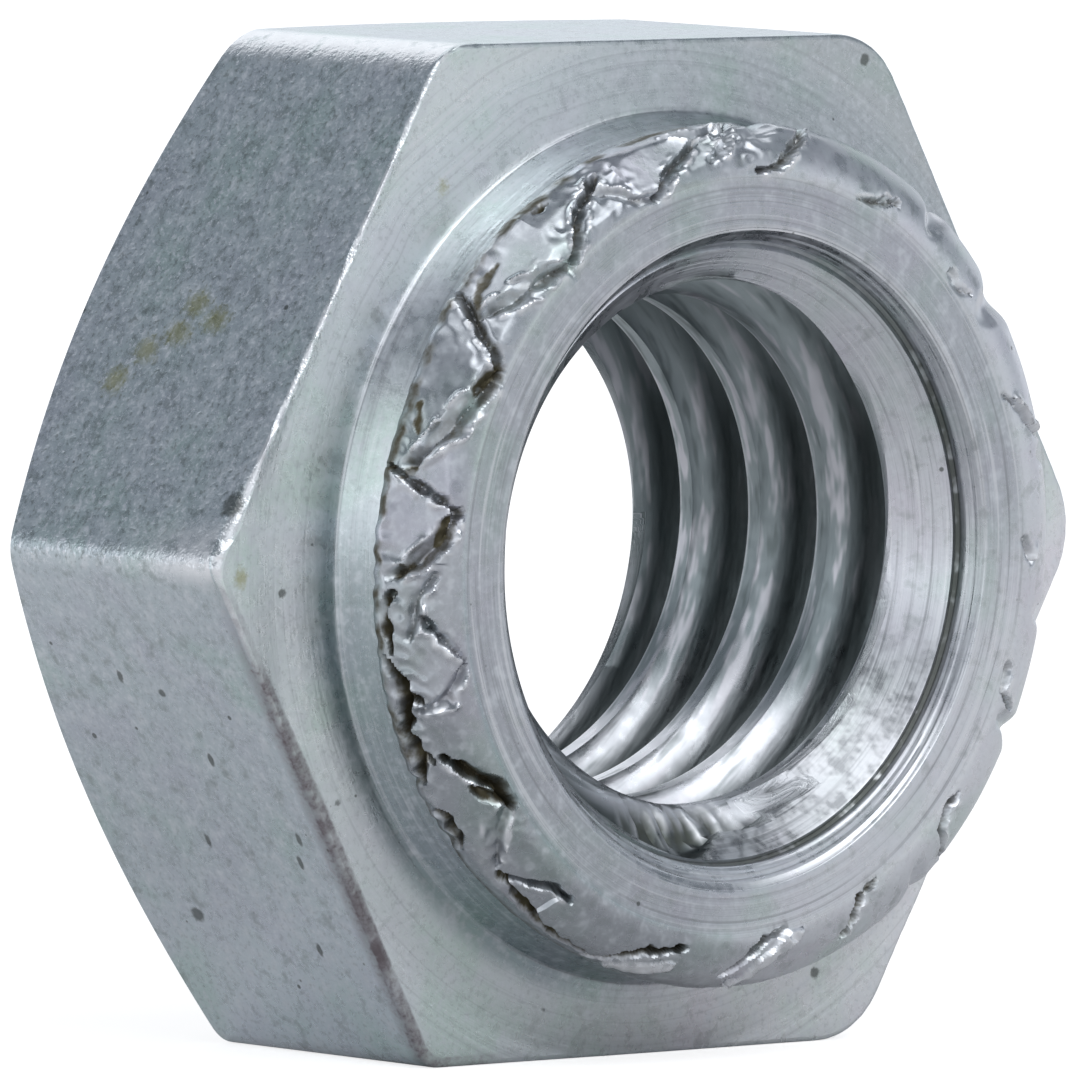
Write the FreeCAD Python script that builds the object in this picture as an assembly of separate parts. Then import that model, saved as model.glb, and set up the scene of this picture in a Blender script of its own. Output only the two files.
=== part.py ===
import FreeCAD, Part
import math
import os

# Self clinching nut: one turned and formed steel piece, lying with its thread axis level.
# The thread axis is Y. The clinching collar points along -Y, the hexagon lies along +Y and
# stands on one of its flats, with +Z up. The origin is on the thread axis, in the plane of
# the shoulder that lands on the sheet. All sizes are in millimetres.

# thread: the bore is left at the tapping drill's size
thread_diameter = 6.0
thread_pitch = 1.0

# countersinks at both ends of the bore; at the front a chamfered rim and a thin turned
# groove lie outside the cone
front_sink_clearance = 0.2
back_sink_clearance = 0.05
sink_half_angle = 45.0
rim_chamfer = 0.14
rim_groove_width = 0.06
rim_groove_depth = 0.26

# hexagon: its flats stand clear of the collar by the width of the shoulder
shoulder_width = 0.64
hexagon_height = 3.6
corner_round = 0.3
shoulder_edge_bevel = 0.08
chamfer_inset = 0.25
chamfer_angle = 30.0

# cove and neck between the shoulder and the knurled collar
cove_width = 0.4
cove_rise = 0.1
cove_land = 0.15

# collar, from its front face outwards: a flat land, then a rounded crown
collar_height = 1.35
front_land = 0.5
crown_radius = 0.6
crown_overhang = 0.06
undercut_depth = 0.26
undercut_length = 0.15

# crossed knurl: two sets of vee grooves at the same slant, one of each hand
knurl_count = 17
knurl_slant = 45.0
knurl_vee_angle = 70.0
knurl_depth = 0.2
knurl_first_angle = 1.5

# the knurl's grooves are centred on the crown at this lean, and swept this far round it
knurl_lean = 45.0
knurl_sweep = 130.0

# how far a cutting tool runs past the surface that it leaves, and how far the collar's
# stock reaches into the hexagon
tool_overrun = 0.5
stock_overlap = 0.2

AXIS = FreeCAD.Vector(0, 1, 0)
ORIGIN = FreeCAD.Vector(0, 0, 0)

bore_radius = (thread_diameter - thread_pitch) / 2
front_sink_radius = thread_diameter / 2 + front_sink_clearance
back_sink_radius = thread_diameter / 2 + back_sink_clearance
front_face_radius = front_sink_radius + front_land
crown_centre_radius = front_face_radius + crown_overhang
crest_radius = crown_centre_radius + crown_radius
crown_drop = math.sqrt(crown_radius ** 2 - crown_overhang ** 2)
crest_y = crown_drop - collar_height
neck_radius = crest_radius - undercut_depth
flat_radius = crest_radius + shoulder_width
corner_radius = flat_radius / math.cos(math.radians(30))


def at(radius, y):
    """Point of a half section: distance from the thread axis, and place along it."""
    return FreeCAD.Vector(radius, y, 0)


def turned(edges):
    """Solid swept by a closed half section once round the thread axis."""
    face = Part.Face(Part.Wire(edges))
    return Part.makeSolid(face.revolve(ORIGIN, AXIS, 360))


def line(start, end):
    """Straight edge between two points of a half section."""
    return Part.LineSegment(start, end).toShape()


def closed(section):
    """Straight edges that join the points of a half section into a loop."""
    return [line(a, b) for a, b in zip(section, section[1:] + section[:1])]


def hexagon_prism():
    """Hexagonal bar with flats up and down, its long edges rounded."""
    corners = [
        FreeCAD.Vector(
            corner_radius * math.cos(math.radians(60 * k)),
            0,
            corner_radius * math.sin(math.radians(60 * k)),
        )
        for k in range(6)
    ]
    outline = Part.makePolygon(corners + corners[:1])
    prism = Part.Face(outline).extrude(FreeCAD.Vector(0, hexagon_height, 0))
    long_edges = [e for e in prism.Edges if abs(e.tangentAt(e.FirstParameter).y) > 0.5]
    prism = prism.makeFillet(corner_round, long_edges)
    front_edges = [e for e in prism.Edges if e.BoundBox.YMax < shoulder_edge_bevel]
    return prism.makeChamfer(shoulder_edge_bevel, front_edges)


def back_chamfer_envelope():
    """Turned blank that bevels the hexagon's six corners at the back face."""
    outer = corner_radius + tool_overrun
    face_radius = flat_radius - chamfer_inset
    drop = (outer - face_radius) * math.tan(math.radians(chamfer_angle))
    section = [
        at(0, -tool_overrun),
        at(outer, -tool_overrun),
        at(outer, hexagon_height - drop),
        at(face_radius, hexagon_height),
        at(0, hexagon_height),
    ]
    return turned(closed(section))


def collar_blank():
    """Cove, neck and rounded collar before knurling, as one turned boss."""
    cove_radius = min(neck_radius + cove_width, flat_radius - cove_land)
    cove_foot = at(cove_radius, 0)
    cove_top = at(neck_radius, -cove_rise)
    run = cove_radius - neck_radius
    sweep = (run ** 2 + cove_rise ** 2) / (2 * cove_rise)
    half_turn = math.asin(run / sweep) / 2
    cove_middle = at(
        cove_radius - sweep * math.sin(half_turn),
        -sweep * (1 - math.cos(half_turn)),
    )
    root = at(0, stock_overlap)
    root_edge = at(cove_radius, stock_overlap)
    front_edge = at(front_face_radius, -collar_height)
    lean = math.radians(knurl_lean)
    crown_middle = at(
        crown_centre_radius + crown_radius * math.cos(lean),
        crest_y - crown_radius * math.sin(lean),
    )
    crest = at(crest_radius, crest_y)
    undercut_foot = at(neck_radius, crest_y + undercut_length)
    edges = [
        line(root, root_edge),
        line(root_edge, cove_foot),
        Part.Arc(cove_foot, cove_middle, cove_top).toShape(),
        line(cove_top, undercut_foot),
        line(undercut_foot, crest),
        Part.Arc(crest, crown_middle, front_edge).toShape(),
        line(front_edge, at(0, -collar_height)),
        line(at(0, -collar_height), root),
    ]
    return turned(edges)


def knurl_cutter(front_angle, hand):
    """One vee groove that follows the crown, leaning one way or the other."""
    slant = math.radians(knurl_slant)
    lean = math.radians(knurl_lean)
    middle_radius = crown_centre_radius + crown_radius * math.cos(lean)
    run = crown_radius * lean * math.tan(slant)
    angle = front_angle + hand * run / middle_radius
    radial = FreeCAD.Vector(math.cos(angle), 0, math.sin(angle))
    tangent = FreeCAD.Vector(-math.sin(angle), 0, math.cos(angle))
    outward = radial * math.cos(lean) - AXIS * math.sin(lean)
    backward = radial * math.sin(lean) + AXIS * math.cos(lean)
    along = backward * math.cos(slant) + tangent * (hand * math.sin(slant))
    pivot = along.cross(outward)
    surface = radial * middle_radius + AXIS * (crest_y - crown_radius * math.sin(lean))
    curve = math.cos(slant) ** 2 / crown_radius
    curve = curve + math.sin(slant) ** 2 * math.cos(lean) / middle_radius
    groove_radius = 1 / curve - knurl_depth
    bottom = surface - outward * knurl_depth
    centre = bottom - outward * groove_radius
    half_width = tool_overrun * math.tan(math.radians(knurl_vee_angle / 2))
    lip = bottom + outward * tool_overrun
    section = [bottom, lip + pivot * half_width, lip - pivot * half_width]
    vee = Part.Face(Part.makePolygon(section + section[:1]))
    vee.rotate(centre, pivot, -knurl_sweep / 2)
    return vee.revolve(centre, pivot, knurl_sweep)


def knurled_collar():
    """The collar with both sets of grooves cut; they meet at the front edge."""
    step = 2 * math.pi / knurl_count
    first = math.radians(knurl_first_angle)
    cutters = [
        knurl_cutter(first + k * step, hand)
        for k in range(knurl_count)
        for hand in (-1, 1)
    ]
    return collar_blank().cut(cutters)


def bore_cutter():
    """Through bore with a countersink at each end. The front one has a chamfered rim and a
    groove with a square wall, whose flat floor meets the cone."""
    slope = 1 / math.tan(math.radians(sink_half_angle))
    front = -collar_height
    back = hexagon_height
    groove_radius = front_sink_radius - rim_chamfer
    cone_radius = groove_radius - rim_groove_width
    floor = front + rim_groove_depth
    cone_end = floor + (cone_radius - bore_radius) * slope
    back_depth = (back_sink_radius - bore_radius) * slope
    section = [
        at(0, front - tool_overrun),
        at(front_sink_radius, front - tool_overrun),
        at(front_sink_radius, front),
        at(groove_radius, front + rim_chamfer * slope),
        at(groove_radius, floor),
        at(cone_radius, floor),
        at(bore_radius, cone_end),
        at(bore_radius, back - back_depth),
        at(back_sink_radius, back),
        at(back_sink_radius, back + tool_overrun),
        at(0, back + tool_overrun),
    ]
    return turned(closed(section))


def clinch_nut():
    """The whole nut: hexagon and collar joined, then bored through."""
    hexagon = hexagon_prism().common(back_chamfer_envelope())
    body = hexagon.fuse(knurled_collar())
    return body.cut(bore_cutter()).removeSplitter()


os.makedirs("parts", exist_ok=True)
nut = clinch_nut().Solids[0]
nut.exportStep("parts/clinch_nut.step")
print("valid", nut.isValid(), "volume", round(nut.Volume, 3))
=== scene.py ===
import math
from math import pi, radians

import bpy
import numpy as np
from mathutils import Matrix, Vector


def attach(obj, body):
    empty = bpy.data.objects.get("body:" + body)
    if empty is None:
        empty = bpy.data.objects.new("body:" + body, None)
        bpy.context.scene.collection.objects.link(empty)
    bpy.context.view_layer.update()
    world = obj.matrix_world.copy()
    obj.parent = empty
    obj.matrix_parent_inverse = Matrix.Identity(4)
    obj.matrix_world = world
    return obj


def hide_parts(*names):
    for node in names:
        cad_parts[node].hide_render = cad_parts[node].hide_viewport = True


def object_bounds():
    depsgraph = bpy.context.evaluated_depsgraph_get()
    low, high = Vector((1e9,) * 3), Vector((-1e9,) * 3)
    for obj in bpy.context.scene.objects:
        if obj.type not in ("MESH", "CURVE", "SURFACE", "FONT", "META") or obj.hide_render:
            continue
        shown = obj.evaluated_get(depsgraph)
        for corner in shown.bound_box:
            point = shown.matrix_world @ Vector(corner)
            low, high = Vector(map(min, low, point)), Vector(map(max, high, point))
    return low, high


bl_info = {
    "name": "Self clinching nut",
    "version": (1, 0, 0),
    "blender": (4, 5, 0),
    "location": "View3D > Sidebar > Clinch nut",
    "description": "Builds a zinc plated self clinching nut with a knurled collar, and its stage",
    "category": "Object",
}

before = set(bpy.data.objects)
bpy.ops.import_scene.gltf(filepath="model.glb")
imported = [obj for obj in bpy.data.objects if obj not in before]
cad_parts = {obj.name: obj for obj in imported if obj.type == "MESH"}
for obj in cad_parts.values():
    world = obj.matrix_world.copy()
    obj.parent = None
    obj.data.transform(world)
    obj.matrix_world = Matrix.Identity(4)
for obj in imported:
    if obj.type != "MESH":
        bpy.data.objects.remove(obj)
CAD_LOW, CAD_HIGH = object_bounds()

MM = 0.001
MICRON = 0.001 * MM
TURN = 2 * pi
SIXTH = TURN / 6

# How many columns the skin's rings have: on the knurl, on turned faces, and at the bore and
# the flats.
FINE, MIDDLE, COARSE = 1024, 512, 256

# Rows of the thread's grid on its root, rear flank, crest, crest's edge and front flank, and
# on the root again.
THREAD_ROWS = (1, 5, 2, 1, 5, 2)

# Radius of the hexagon's long edges in the solid, in mm.
UNWORN_ROUND = 0.3

# How far the knurled crown stands out from its centre circle, in mm, at every 30 degrees
# round the thread axis from +X towards +Z: the collar was upset unevenly.
CROWN_RADII = (0.64, 0.63, 0.58, 0.46, 0.5, 0.54, 0.58, 0.56, 0.47, 0.52, 0.61, 0.63)

# Radius of the hexagon's long edges, in mm, at every 60 degrees from +X towards +Z.
CORNER_ROUNDS = (0.95, 0.95, 0.6, 0.32, 0.34, 0.95)

# The knurl's cuts, furrows and holes, in degrees, percent and thousandths of a mm. Each has
# its path, as pairs of an angle and the way from the front face to the crest; its half width
# and its depth, below zero where metal is raised; how dark it is, muck and painted shade
# together; and, where metal is rolled up beside it, the height of that on its front and on
# its back side.
STROKES = (
    # narrow cuts, which lean back against the angle
    (((68.5, 3), (65, 9), (60, 26)), 45, 90, 60, 0, 10),
    (((89, 9), (85, 16), (79, 60), (76, 100)), 60, 130, 70, 22, 0),
    (((110, 6), (105, 34), (99, 62)), 65, 130, 50, 45, 10),
    (((130, 0), (126, 20), (122, 50), (116, 78)), 70, 140, 70, 35, 30),
    (((151.5, 3), (148, 25), (146, 48), (144, 74), (142, 100)), 70, 140, 80, 0, 35),
    (((172, 12), (169.5, 45), (168, 80), (166.5, 100)), 55, 110, 70, 0, 20),
    (((193.5, 8), (190, 26), (186.5, 50)), 55, 130, 40, 0, 30),
    (((217.5, 10), (213, 17), (209, 38), (206.5, 62)), 80, 190, 100, 0, 20),
    (((236, 33), (232.5, 34), (230.5, 48), (227, 72)), 50, 130, 40, 0, 15),
    (((259.5, 22), (252, 44), (250, 58), (246, 95)), 55, 150, 100, 0, 10),
    (((226, 76), (232, 80), (240, 88), (246, 86)), 55, 100, 100),
    (((250, 80), (253, 66), (258, 46)), 130, -40, 0),
    (((279, 2), (275, 12), (272, 28), (268.5, 58)), 50, 130, 80),
    (((281.8, 10), (277.4, 22), (274.6, 38), (271.2, 68)), 95, -55, 0),
    (((299, 2), (295, 8), (293, 25), (291, 40)), 50, 120, 90, 0, 15),
    (((320, 10), (316.5, 9), (314, 20), (312.5, 45), (314.5, 80)), 40, 100, 80, 0, 15),
    (((342, 4), (337, 7), (335.5, 28)), 50, 90, 70, 0, 10),
    (((360.5, 4), (357, 14)), 55, 80, 40, 0, 20),
    (((23.5, 0), (21, 14), (17, 30), (14.5, 50), (14, 85)), 45, 100, 30, 0, 25),
    (((45.5, 9), (42.5, 5), (40, 16)), 50, 60, 40),
    # wide furrows, which lean back with the angle
    (((110, 8), (114, 20), (117, 50), (119, 75)), 70, 60, 30, 0, 20),
    (((130, 8), (134, 20), (140, 34), (144, 62)), 110, 110, 50, 30, 45),
    (((151, 6), (155, 20), (161, 42), (166, 74)), 120, 130, 60, 50, 45),
    (((172, 14), (176, 26), (179, 50), (181, 78)), 100, 110, 70, 50, 30),
    (((180.5, 34), (184, 55), (189, 66)), 60, 60, 30, 40, 0),
    (((194, 10), (198, 36), (199, 68)), 70, 70, 20, 40, 0),
    (((216.5, 14), (219.5, 40), (224.5, 72)), 100, 70, 20, 30, 20),
    (((98, 30), (94, 48), (91, 95)), 70, 70, 20, 30, 30),
    (((103, 85), (97, 72), (92, 90)), 60, 90, 30, 20, 20),
    # dark pockets where a cut and a furrow part
    (((129.5, 10), (133, 22)), 80, 70, 50),
    (((150, 8), (154, 24)), 120, 140, 100),
    (((173, 22), (176.5, 34)), 80, 90, 100),
    (((215.5, 16), (212, 38)), 90, 130, 100),
    # dark marks without a hollow
    (((136, 82), (141, 80), (144, 66)), 60, 10, 90),
    (((158, 90), (162, 80)), 70, 10, 100),
    (((166.5, 70), (168, 84)), 70, 10, 100),
    (((179.5, 60), (181, 78)), 70, 10, 90),
    # torn holes where cuts and furrows meet
    (((77.5, 94), (75.5, 100)), 100, 160, 100),
    (((126, 93), (124, 90)), 40, 100, 100),
    (((183, 84), (187, 90), (191, 86)), 50, 120, 100),
    (((192, 90), (194.5, 80), (197, 76), (200, 84)), 90, 220, 100),
    (((196, 76), (198, 62)), 40, 100, 90, 0, 20),
    (((199.5, 86), (202, 92), (205, 84), (209, 97)), 80, 220, 100),
    (((204, 86), (206.5, 74)), 40, 100, 90, 0, 20),
    (((214, 94), (217, 90), (220, 97)), 80, 180, 90),
    # broad hollows, seen in the outline
    (((333.5, 25), (333, 100)), 220, 100, 0),
    (((12, 45), (12, 100)), 200, 80, 0),
    (((36, 30), (34, 100)), 350, 90, 0),
    (((52, 35), (50, 100)), 250, 80, 0),
    (((307, 40), (306, 100)), 250, 80, 0),
    (((350, 40), (350, 100)), 250, 60, 0),
    (((86, 70), (85, 100)), 300, 80, 0),
)

# Half width from which a stroke is a smooth hollow without torn edges.
BROAD = 150

# Where the metal between the cuts is torn: the angle of the middle and its way back in
# percent, the reach both ways, and the height of the lumps in thousandths of a mm.
TORN = (
    (117, 60, 4, 35, 10), (92, 60, 5, 35, 10), (197, 70, 8, 22, 11),
    (184, 70, 4, 30, 9), (148, 40, 3, 25, 8), (165, 85, 5, 15, 8),
    (221, 50, 4, 35, 9), (126, 45, 3, 12, 8),
)

# The pads between the cuts, pressed flat: the angle of the middle and its way back in
# percent, the depth under the crown in thousandths of a mm, and the tilt round and back.
PADS = (
    (84, 55, 30, 0, 0), (106, 50, 50, 0, 0), (114.5, 75, 40, 6, 0),
    (127, 50, 60, -6, -8), (135, 68, 95, 2, 2), (148, 60, 60, -4, 0),
    (156, 72, 90, 0, 0), (174, 60, 90, 0, -3), (193, 46, 65, -4, -2),
    (211, 62, 80, 0, 0), (220, 55, 50, 6, 0), (281, 50, 40, 0, 0),
)


# ---------------- sizes and colours


def length(name, description, default):
    """A length in metres, for a property group."""
    return bpy.props.FloatProperty(name=name, description=description, default=default, unit="LENGTH")


def strength(name, description):
    """A share of the full effect, for a property group."""
    return bpy.props.FloatProperty(
        name=name, description=description, default=1.0, min=0, max=2, subtype="FACTOR")


def tint(name, description, default):
    """A colour, for a property group."""
    return bpy.props.FloatVectorProperty(
        name=name, description=description, default=default, subtype="COLOR")


class NutSizes(bpy.types.PropertyGroup):
    """Sizes of the nut, in metres."""

    across_flats: length("Across flats", "Width of the hexagon over two flats", CAD_HIGH.z - CAD_LOW.z)
    hexagon_height: length("Hexagon height", "From the shoulder to the back face", CAD_HIGH.y)
    collar_height: length("Collar height", "From the shoulder to the collar's face", -CAD_LOW.y)
    corner_round: length("Corner round", "Radius of the hexagon's unworn long edges", UNWORN_ROUND * MM)
    edge_round: length("Edge round", "Radius of the edge between shoulder and flats", 0.045 * MM)
    chamfer_inset: length("Chamfer inset", "How far the back face's rim lies inside the flats", 0.25 * MM)
    chamfer_angle: bpy.props.FloatProperty(
        name="Chamfer angle", description="Slope of the chamfer at the back",
        default=radians(30), subtype="ANGLE")
    cove_radius: length("Cove radius", "Where the rise to the neck leaves the flat shoulder", 5.05 * MM)
    cove_rise: length("Cove rise", "How far the shoulder climbs to the lip at the neck", 0.115 * MM)
    neck_radius: length("Neck radius", "Radius of the neck behind the knurl", 4.12 * MM)
    neck_flare: length("Neck flare", "How much wider the neck is at the lip by the shoulder", 0.16 * MM)
    neck_front: length("Neck front", "Place of the neck's front end along the axis", -0.62 * MM)
    face_radius: length("Face radius", "Outer radius of the collar's flat face", 3.7 * MM)
    crown_overhang: length("Crown overhang", "Crown's centre, outside the front face's edge", 0.06 * MM)
    rim_radius: length("Rim radius", "Radius of the countersink at the front face", 3.21 * MM)
    thread_diameter: length("Thread diameter", "Nominal diameter of the thread", 6.0 * MM)
    thread_pitch: length("Thread pitch", "From one thread turn to the next", 1.0 * MM)
    thread_phase: length("Thread phase", "Place of a thread groove along the axis at +X", -0.25 * MM)


class KnurlLook(bpy.types.PropertyGroup):
    """The crossed knurl and its torn metal."""

    cut_depth: strength("Cut depth", "Depth of the cuts, furrows and holes")
    lip_height: strength("Lip height", "Height of the metal rolled up beside the cuts")
    pad_depth: strength("Pad depth", "How deep the flat pads are pressed")
    roughness: length("Roughness", "Height of the fine unevenness of the knurl", 0.003 * MM)
    seed: bpy.props.IntProperty(name="Seed", description="Changes the fine unevenness", default=7)


class FinishLook(bpy.types.PropertyGroup):
    """Colours of the plating, the muck with painted shade, and the stage."""

    zinc: tint("Zinc", "Colour of the plating on the flats", (0.62, 0.685, 0.73))
    turned_zinc: tint("Turned zinc", "Colour of the plating on turned faces", (0.54, 0.565, 0.605))
    # painted light: the shoulder's plating is near white, so that its left side shows pale; zinc_finish
    # darkens it towards the right
    shoulder_zinc: tint("Shoulder zinc", "Colour of the plating on the shoulder", (0.93, 1.0, 1.0))
    # partly painted shade: the thread's plating is kept much darker than the rest, for the shaded bore
    thread_zinc: tint("Thread zinc", "Colour of the thinner plating in the thread", (0.31, 0.355, 0.37))
    # the colour of muck and painted shade on the collar: in the knurl's cuts, pockets and holes and on
    # the bevel behind the crest
    grime_and_shade: tint("Grime", "Dirt in the knurl's pockets", (0.13, 0.115, 0.075))
    stain: tint("Stain", "Yellow stains of the plating bath", (0.42, 0.4, 0.14))
    grain_height: length("Grain height", "Height of the plating's grain", 0.012 * MM)
    floor: tint("Floor", "Colour of the floor", (0.62, 0.61, 0.61))


# ---------------- rings and meshes


def smoothstep(low, high, x):
    """0 below low, 1 above high, and an S-shaped ramp between them."""
    u = np.clip((x - low) / (high - low), 0, 1)
    return u * u * (3 - 2 * u)


def wrapped(angle):
    """The angle brought into the half turn on either side of zero."""
    return (angle + pi) % TURN - pi


def near(theta, middle, full, ends):
    """1 up to `full` degrees from the middle angle, 0 past `ends` degrees, and an S-shaped
    ramp between them."""
    gap = np.abs(wrapped(theta - radians(middle)))
    return smoothstep(radians(ends), radians(full), gap)


def bell(theta, middle, width):
    """A bell curve round the axis, of height 1: its middle and width are in degrees."""
    return np.exp(-(wrapped(theta - radians(middle)) / radians(width)) ** 2)


def ripple(theta, along, waves, span, seed):
    """Smooth noise of about unit size: a sum of cosines whose count round the axis is a
    whole number up to waves, and whose length along the surface is down to span."""
    rng = np.random.default_rng(seed)
    total = 0
    terms = 24
    for _ in range(terms):
        turns = rng.integers(1, waves + 1)
        rate = rng.uniform(-1, 1) * TURN / span
        total = total + np.cos(turns * theta + rate * along + rng.uniform(0, TURN))
    return total * math.sqrt(2 / terms)


def points(theta, r, y):
    """Points in space, from their angle, their distance from the axis and their place
    along it."""
    return np.stack(np.broadcast_arrays(r * np.cos(theta), y, r * np.sin(theta)), -1)


def column(*values):
    """Values one under another, to be combined with the angles of a ring."""
    return np.array(values)[:, None]


class Skin:
    """A closed skin made of rings round the thread axis, in order along the section."""

    def __init__(self):
        self.places = []
        self.marks = []
        self.faces = []
        self.count = 0
        self.last = None

    def add_points(self, place, marks):
        """Adds points and what each carries, and gives their numbers."""
        shape = place.shape[:-1]
        self.places.append(place.reshape(-1, 3))
        self.marks.append(np.broadcast_to(marks, (*shape, len(MARKS))).reshape(-1, len(MARKS)))
        start = self.count
        self.count += math.prod(shape)
        return np.arange(start, self.count).reshape(shape)

    def band(self, theta, r, y, marks):
        """Rings of equal count, joined to the last ones: rows along the section, columns
        round the axis."""
        place = points(theta, r, y)
        ids = self.add_points(place.reshape(-1, *place.shape[-2:]), marks)
        self.join(self.last, ids[0])
        self.quads(ids[:-1], ids[1:])
        self.last = ids[-1]

    def quads(self, inner, outer):
        """Four-sided faces between each ring and the next one out."""
        a, b = inner, outer
        c, d = np.roll(outer, -1, -1), np.roll(inner, -1, -1)
        self.faces.append(np.stack([a, b, c, d], -1).reshape(-1, 4))

    def join(self, inner, outer):
        """Faces between two rings whose counts are equal, or one twice the other."""
        if len(inner) == len(outer):
            self.quads(inner[None], outer[None])
            return
        fine, coarse = (inner, outer) if len(inner) > len(outer) else (outer, inner)
        a, b, c = fine[::2], fine[1::2], np.roll(fine[::2], -1)
        p, q = coarse, np.roll(coarse, -1)
        parts = [np.stack(x, -1) for x in ((a, p, b), (b, p, q), (b, q, c))]
        tris = np.concatenate(parts)
        if fine is outer:
            tris = tris[:, ::-1]
        self.faces.append(tris)

    def mesh(self, name):
        places = np.concatenate(self.places)
        faces = [f for part in self.faces for f in part.tolist()]
        mesh = bpy.data.meshes.new(name)
        mesh.from_pydata(places.tolist(), [], faces)
        marks = np.concatenate(self.marks)
        for k, mark in enumerate(MARKS):
            layer = mesh.attributes.new(mark, "FLOAT", "POINT")
            layer.data.foreach_set("value", np.ascontiguousarray(marks[:, k], np.float32))
        mesh.polygons.foreach_set("use_smooth", np.ones(len(mesh.polygons), bool))
        mesh.validate()
        mesh.update()
        return mesh


# what each vertex carries for the finish: turned by a lathe, thread, knurl, muck with
# painted shade, wear with painted highlights, and the hexagon's sides
MARKS = ("turned", "thread", "knurl", "grime_and_shade", "wear_and_highlight", "side")


def mark(turned=0.0, thread=0.0, knurl=0.0, grime_and_shade=0.0, wear_and_highlight=0.0, side=0.0):
    """The finish's marks side by side; arrays give a value to each vertex."""
    parts = np.broadcast_arrays(turned, thread, knurl, grime_and_shade, wear_and_highlight, side)
    return np.stack(parts, -1)


def even_angles(count):
    """Angles spread evenly round the axis."""
    return TURN * np.arange(count) / count


def corner_angles(count, gather):
    """Angles gathered towards the hexagon's corners: within each sixth the step is
    smallest at the corner, by a sine added to the even spread."""
    even = even_angles(count)
    return even - gather * np.sin(6 * even) / 6


def gathered_angles(count):
    """Angles gathered towards the left, where the knurl is torn most: the step there is a
    quarter smaller than an even one, by a sine added to the even spread."""
    even = even_angles(count)
    return even - 0.25 * np.sin(even - radians(165))


def hexagon_reach(theta, flat, rounding):
    """Distance from the axis to a hexagon with rounded corners. On a flat it is the flat's
    distance over the cosine; in a corner it is where the ray leaves the corner's circle.
    The rounding grows by the wear of each corner."""
    nearest = np.round(theta / SIXTH).astype(int) % 6
    rounding = rounding + (np.array(CORNER_ROUNDS)[nearest] - UNWORN_ROUND) * MM
    across = np.abs((theta % SIXTH) - SIXTH / 2)
    tangent = np.arctan((flat - rounding) * math.tan(SIXTH / 2) / flat)
    centre = (flat - rounding) / math.cos(SIXTH / 2)
    away = SIXTH / 2 - across
    round_part = centre * np.cos(away) + np.sqrt(
        np.maximum(rounding ** 2 - (centre * np.sin(away)) ** 2, 0))
    return np.where(across < tangent, flat / np.cos(across), round_part)


def left_bevel(theta):
    """How much wider the shoulder's edge is rounded off by wear at the left corner: a bell
    curve round the axis, made uneven by ripples."""
    uneven = 0.8 + 0.2 * ripple(theta, 0 * theta, 90, MM, 33)
    return 0.085 * MM * bell(theta, 175.5, 5) * uneven


def round_the_axis(values, theta):
    """A smooth curve round the axis through evenly spaced values: the sum of the waves
    that their Fourier transform gives."""
    waves = np.fft.rfft(values) / len(values)
    total = np.full(np.shape(theta), waves[0].real)
    for k in range(1, len(waves)):
        share = 1 if 2 * k == len(values) else 2
        total = total + share * (waves[k] * np.exp(1j * k * theta)).real
    return total


def crown_section(sizes, theta, share):
    """Point and outward normal of the collar's crown. The share is below zero
    on the flat face, in mm; from 0 to 1 along the arc to the crest; and from 1 to 2 down
    the bevel behind it to the neck. The arc's radius changes round the axis."""
    radius = round_the_axis(CROWN_RADII, theta) * MM
    centre_r = sizes.face_radius + sizes.crown_overhang
    start = -np.arcsin(sizes.crown_overhang / radius)
    crest_y = radius * np.cos(start) - sizes.collar_height
    sweep = pi / 2 - start
    turn = start + np.clip(share, 0, 1) * sweep
    r = centre_r + radius * np.sin(turn)
    y = crest_y - radius * np.cos(turn)
    flat = share < 0
    r = np.where(flat, sizes.face_radius + share * MM, r)
    y = np.where(flat, -sizes.collar_height, y)
    down = np.clip(share - 1, 0, 1) * pi / 2
    r = r + (1 - np.cos(down)) * (sizes.neck_radius - centre_r - radius)
    y = y + np.sin(down) * (sizes.neck_front - crest_y)
    return r, y, np.where(flat, 0, np.sin(turn)), np.where(flat, -1, -np.cos(turn))


def stroke_field(theta, share, path):
    """Distance to a path over the crown, which side of it a point is on (above zero is
    behind it) and how far along it, from 0 to 1. The crown is unrolled at one radius, and
    each straight run of the path gives the distance to its nearest point."""
    round_scale, back_scale = 4.1 * MM, 0.8 * MM
    angles, ways = np.array(path).T
    angles = np.radians(angles)
    middle = angles.mean()
    x, y = wrapped(theta - middle) * round_scale, share * back_scale
    px, py = (angles - middle) * round_scale, ways / 100 * back_scale
    runs = np.hypot(np.diff(px), np.diff(py))
    best = np.full(x.shape, np.inf)
    side = np.zeros(x.shape)
    place = np.zeros(x.shape)
    done = 0.0
    for k, run in enumerate(runs):
        dx, dy = (px[k + 1] - px[k]) / run, (py[k + 1] - py[k]) / run
        along = np.clip((x - px[k]) * dx + (y - py[k]) * dy, 0, run)
        gap_x, gap_y = x - px[k] - along * dx, y - py[k] - along * dy
        gap = np.hypot(gap_x, gap_y)
        nearer = gap < best
        best = np.where(nearer, gap, best)
        behind = dx * gap_y - dy * gap_x
        side = np.where(nearer, np.sign(behind if dx > 0 else -behind), side)
        place = np.where(nearer, (done + along) / runs.sum(), place)
        done += run
    return best, side, place


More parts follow.
